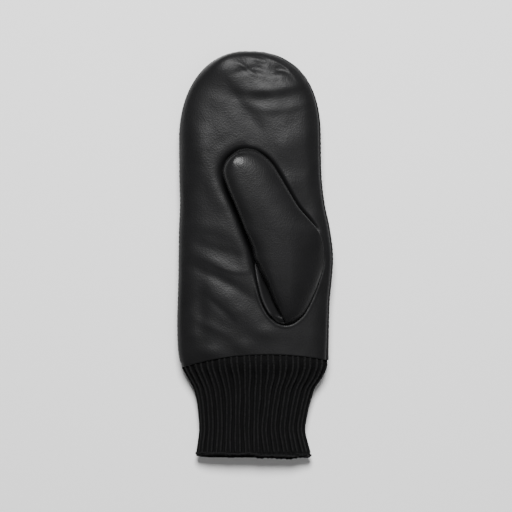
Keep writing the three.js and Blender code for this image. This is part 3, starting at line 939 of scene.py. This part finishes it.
def leatherMaterial(name, look):
    # fine grain, longer creases and a slow mottle, with a highlight painted along the seams in a paler
    # colour
    made, start = newMaterial(name)
    place = start.node("ShaderNodeTexCoord", output="Object")
    mottle = start.noise(place, look["mottleSize"], 4.0)
    fine = start.noise(place, look["fineSize"], 3.0)
    grain = start.node(
        "ShaderNodeTexVoronoi", {"feature": "SMOOTH_F1"},
        {"Vector": place, "Scale": perMetre / look["grainSize"], "Smoothness": 0.6},
    )
    creases = start.noise(place, look["creaseSize"], 3.0, {"noise_type": "RIDGED_MULTIFRACTAL"})
    plain = start.blend(mottle, look["dark"], look["pale"])
    # the painted seam highlight, broken up by fine noise
    colour = start.blend(start.mask("seam") * (0.5 + fine), plain, look["highlightColour"])
    spread = look["roughHigh"] - look["roughLow"]
    rough = look["roughLow"] + mottle * spread + grain * look["grainRough"]
    roughness = rough - start.mask("tight") * look["polish"] + start.mask("dull") * look["dulling"]
    creaseBump = start.bump(0.6, look["creaseDepth"], creases)
    bump = start.bump(0.7, 1, grain * look["grainDepth"] + fine * look["fineDepth"], Normal=creaseBump)
    start.surface({"Base Color": colour, "Roughness": roughness, "Normal": bump, "IOR": look["ior"]})
    return made


knitLook = {
    "dark": (0.0018, 0.0018, 0.0019, 1), "pale": (0.0090, 0.0090, 0.0094, 1),
    # painted light: the strip between a rib's wales is lifted towards this colour, against the painted
    # shade of the grooves
    "between": (0.0026, 0.0026, 0.0028, 1), "betweenShare": 0.5, "speckle": 8.0, "speckleSize": 0.75,
    "mottleSize": 3, "mottleShare": 1.2, "fibreShare": 0.8, "fibreSize": 0.35, "fibreDepth": 0.10,
    "fibreStretch": (1.0, 0.35, 1.0), "rough": 0.85, "sheen": 0.03, "specular": 0.15,
}
# the tube under the stitches: the same yarn painted darker, a painted shade for the grooves between the
# ribs, with less sheen and gloss
shadedKnitLook = dict(
    knitLook, dark=(0.0006, 0.0006, 0.0007, 1), pale=(0.0024, 0.0024, 0.0026, 1),
    sheen=0.006, specular=0.11,
)


def knitMaterial(name, look):
    made, start = newMaterial(name)
    place = start.node("ShaderNodeTexCoord", output="Object")
    mottle = start.noise(place, look["mottleSize"], 5.0)
    stretched = start.node("ShaderNodeMapping", None, {"Vector": place, "Scale": look["fibreStretch"]})
    fibres = start.noise(stretched, look["fibreSize"], 4.0, Distortion=0.6)
    speckle = start.noise(place, look["speckleSize"], 2.0)
    coarse = mottle * look["mottleShare"] + (fibres * look["fibreShare"] - 0.5)
    share = coarse + speckle * look["speckle"] - look["speckle"] / 2
    plain = start.blend(share, look["dark"], look["pale"])
    # painted light on the raised strip between the wales, where the tube has its attribute
    colour = start.blend(start.mask("stripLift") * look["betweenShare"], plain, look["between"])
    bump = start.bump(0.8, look["fibreDepth"], fibres)
    start.surface({
        "Base Color": colour, "Roughness": look["rough"], "Normal": bump,
        "Sheen Weight": look["sheen"], "Specular IOR Level": look["specular"],
    })
    return made


leatherBlack = leatherMaterial("gloveLeather", leatherLook)
knitBlack = knitMaterial("ribKnit", knitLook)
shadedKnitBlack = knitMaterial("ribKnitShaded", shadedKnitLook)
for piece in (palmPiece, backPiece, thumbPiece):
    piece.data.materials.append(leatherBlack)
# the tube takes the darker, painted-shade copy of the yarn
cuffPiece.data.materials.append(shadedKnitBlack)


class Geometry:
    # builds one Geometry Nodes tree; each call adds a node and gives it back
    def __init__(self, name):
        self.tree = bpy.data.node_groups.new(name, "GeometryNodeTree")
        for way in ("INPUT", "OUTPUT"):
            self.tree.interface.new_socket("Geometry", in_out=way, socket_type="NodeSocketGeometry")
        self.identifiers = {}

    def input(self, name, socketType, value=None):
        made = self.tree.interface.new_socket(name, in_out="INPUT", socket_type=socketType)
        if value is not None:
            made.default_value = value
        self.identifiers[name] = made.identifier

    def add(self, kind, settings=None, **inputs):
        # an input is given by its name, or by i and its number
        made = self.tree.nodes.new(kind)
        for name, value in (settings or {}).items():
            setattr(made, name, value)
        for name, value in inputs.items():
            numbered = name[0] == "i" and name[1:].isdigit()
            socket = made.inputs[int(name[1:]) if numbered else name]
            if isinstance(value, bpy.types.Node):
                value = value.outputs[0]
            if isinstance(value, bpy.types.NodeSocket):
                self.tree.links.new(value, socket)
            else:
                socket.default_value = value
        return made


# a knit stitch: three places of a leg, across and deep in yarn radii and up in stitch heights
stitch = {
    "leg": ((0.35, -0.35, 0), (1.05, 0.45, 1.3), (1.05, 1.25, 0)), "legPoints": 4, "ringPoints": 5,
    "long": (0.8, 1.15), "wideByWidth": 0.12, "wide": 0.72,
}


def stitchTree():
    # a knit stitch is two yarn legs that part upwards; one is laid on every point of the guide
    tree = Geometry("knitStitches")
    tree.input("Stitch Height", "NodeSocketFloat", cuff["stitchHeight"] * millimetre)
    tree.input("Yarn Radius", "NodeSocketFloat", cuff["yarn"] * millimetre)
    tree.input("Seed", "NodeSocketInt", cuff["seed"])
    tree.input("Material", "NodeSocketMaterial")
    group = tree.add("NodeGroupInput").outputs

    def scaled(name, factor):
        return tree.add("ShaderNodeMath", {"operation": "MULTIPLY"}, i0=group[name], i1=factor)

    def named(name, kind):
        made = tree.add("GeometryNodeInputNamedAttribute", {"data_type": kind}, Name=name)
        return made.outputs["Attribute"]

    joined = tree.add("GeometryNodeJoinGeometry")
    for side in (-1, 1):
        start, middle, end = (
            tree.add(
                "ShaderNodeCombineXYZ", X=scaled("Yarn Radius", across * side),
                Y=scaled("Stitch Height", up), Z=scaled("Yarn Radius", deep),
            ) for across, up, deep in stitch["leg"]
        )
        ends = {"i0": stitch["legPoints"], "Start": start, "Middle": middle, "End": end}
        leg = tree.add("GeometryNodeCurveQuadraticBezier", **ends)
        tree.tree.links.new(leg.outputs[0], joined.inputs[0])
    radius = group["Yarn Radius"]
    ring = tree.add("GeometryNodeCurvePrimitiveCircle", i0=stitch["ringPoints"], Radius=radius)
    tube = {"Profile Curve": ring, "Fill Caps": True}
    yarn = tree.add("GeometryNodeCurveToMesh", Curve=joined, **tube)
    turned = tree.add(
        "FunctionNodeAxesToRotation", {"primary_axis": "Z", "secondary_axis": "Y"},
        i0=named("inward", "FLOAT_VECTOR"), i1=named("runs", "FLOAT_VECTOR"),
    )
    low, high = stitch["long"]
    uneven = tree.add("FunctionNodeRandomValue", i2=low, i3=high, Seed=group["Seed"])
    wide = tree.add(
        "ShaderNodeMath", {"operation": "MULTIPLY_ADD"},
        i0=named("width", "FLOAT"), i1=stitch["wideByWidth"], i2=stitch["wide"],
    )
    scale = tree.add("ShaderNodeCombineXYZ", X=wide, Y=uneven.outputs[1], Z=1.0)
    spots = {"Points": group["Geometry"], "Rotation": turned, "Scale": scale}
    placed = tree.add("GeometryNodeInstanceOnPoints", Instance=yarn, **spots)
    real = tree.add("GeometryNodeRealizeInstances", Geometry=placed)
    soft = tree.add("GeometryNodeSetShadeSmooth", Geometry=real)
    dressed = tree.add("GeometryNodeSetMaterial", Geometry=soft, Material=group["Material"])
    tree.add("NodeGroupOutput", i0=dressed)
    return tree


def layStitches():
    guide = stitchGuide()
    tree = stitchTree()
    modifier = guide.modifiers.new("stitches", "NODES")
    modifier.node_group = tree.tree
    modifier[tree.identifiers["Material"]] = knitBlack
    return plainMesh(guide)


stitchPiece = layStitches()
print("stitches", len(stitchPiece.data.polygons))


# Floor, light and camera.
stage = {
    "floorGrey": 0.95, "floorHalf": 2.5, "frameWidth": 0.33792, "focus": 0.013, "lens": 135.0,
    "sensor": 36.0, "centreX": 0.0, "centreY": 0.0003, "aim": (0, 0, 0), "around": 0.07,
    "lights": (("keySoftbox", (0.0, 0.78, 1.42), 0.6, 52), ("fill", (0.35, -0.35, 1.4), 0.8, 3)),
}


def makeFloor():
    half = stage["floorHalf"]
    mesh = bpy.data.meshes.new("floor")
    corners = [(x * half, y * half, 0) for x, y in ((-1, -1), (1, -1), (1, 1), (-1, 1))]
    mesh.from_pydata(corners, [], [(0, 1, 2, 3)])
    made = sceneObject("floor", mesh)
    material, start = newMaterial("paleFloor")
    grey = stage["floorGrey"]
    start.surface({"Base Color": (grey, grey, grey, 1), "Roughness": 0.9, "Specular IOR Level": 0.1})
    mesh.materials.append(material)


def makeLight(name, place, size, power):
    data = bpy.data.lights.new(name, "AREA")
    data.shape, data.size, data.energy = "DISK", size, power
    made = sceneObject(name, data)
    made.location = place
    made.rotation_euler = (Vector(stage["aim"]) - Vector(place)).to_track_quat("-Z", "Y").to_euler()


makeFloor()
for light in stage["lights"]:
    makeLight(*light)
world = bpy.data.worlds.new("studio")
world.use_nodes = True
background = world.node_tree.nodes["Background"].inputs
background[0].default_value, background[1].default_value = (1, 1, 1, 1), stage["around"]
bpy.context.scene.world = world

cameraData = bpy.data.cameras.new("camera")
cameraData.lens, cameraData.sensor_width = stage["lens"], stage["sensor"]
camera = sceneObject("camera", cameraData)
distance = stage["frameWidth"] * stage["lens"] / stage["sensor"]
camera.location = (stage["centreX"], stage["centreY"], stage["focus"] + distance)
bpy.context.scene.camera = camera

# What rides: each piece on the root body, with the CAD part it stands in for hidden.
for piece, node, slot in (
    (palmPiece, "palm", "leather"), (backPiece, "back", "leather"), (thumbPiece, "thumb", "leather"),
    (cuffPiece, "rib_cuff", "rib_knit"), (stitchPiece, "rib_cuff", "rib_knit"),
):
    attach(piece, "root")
    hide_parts(node)
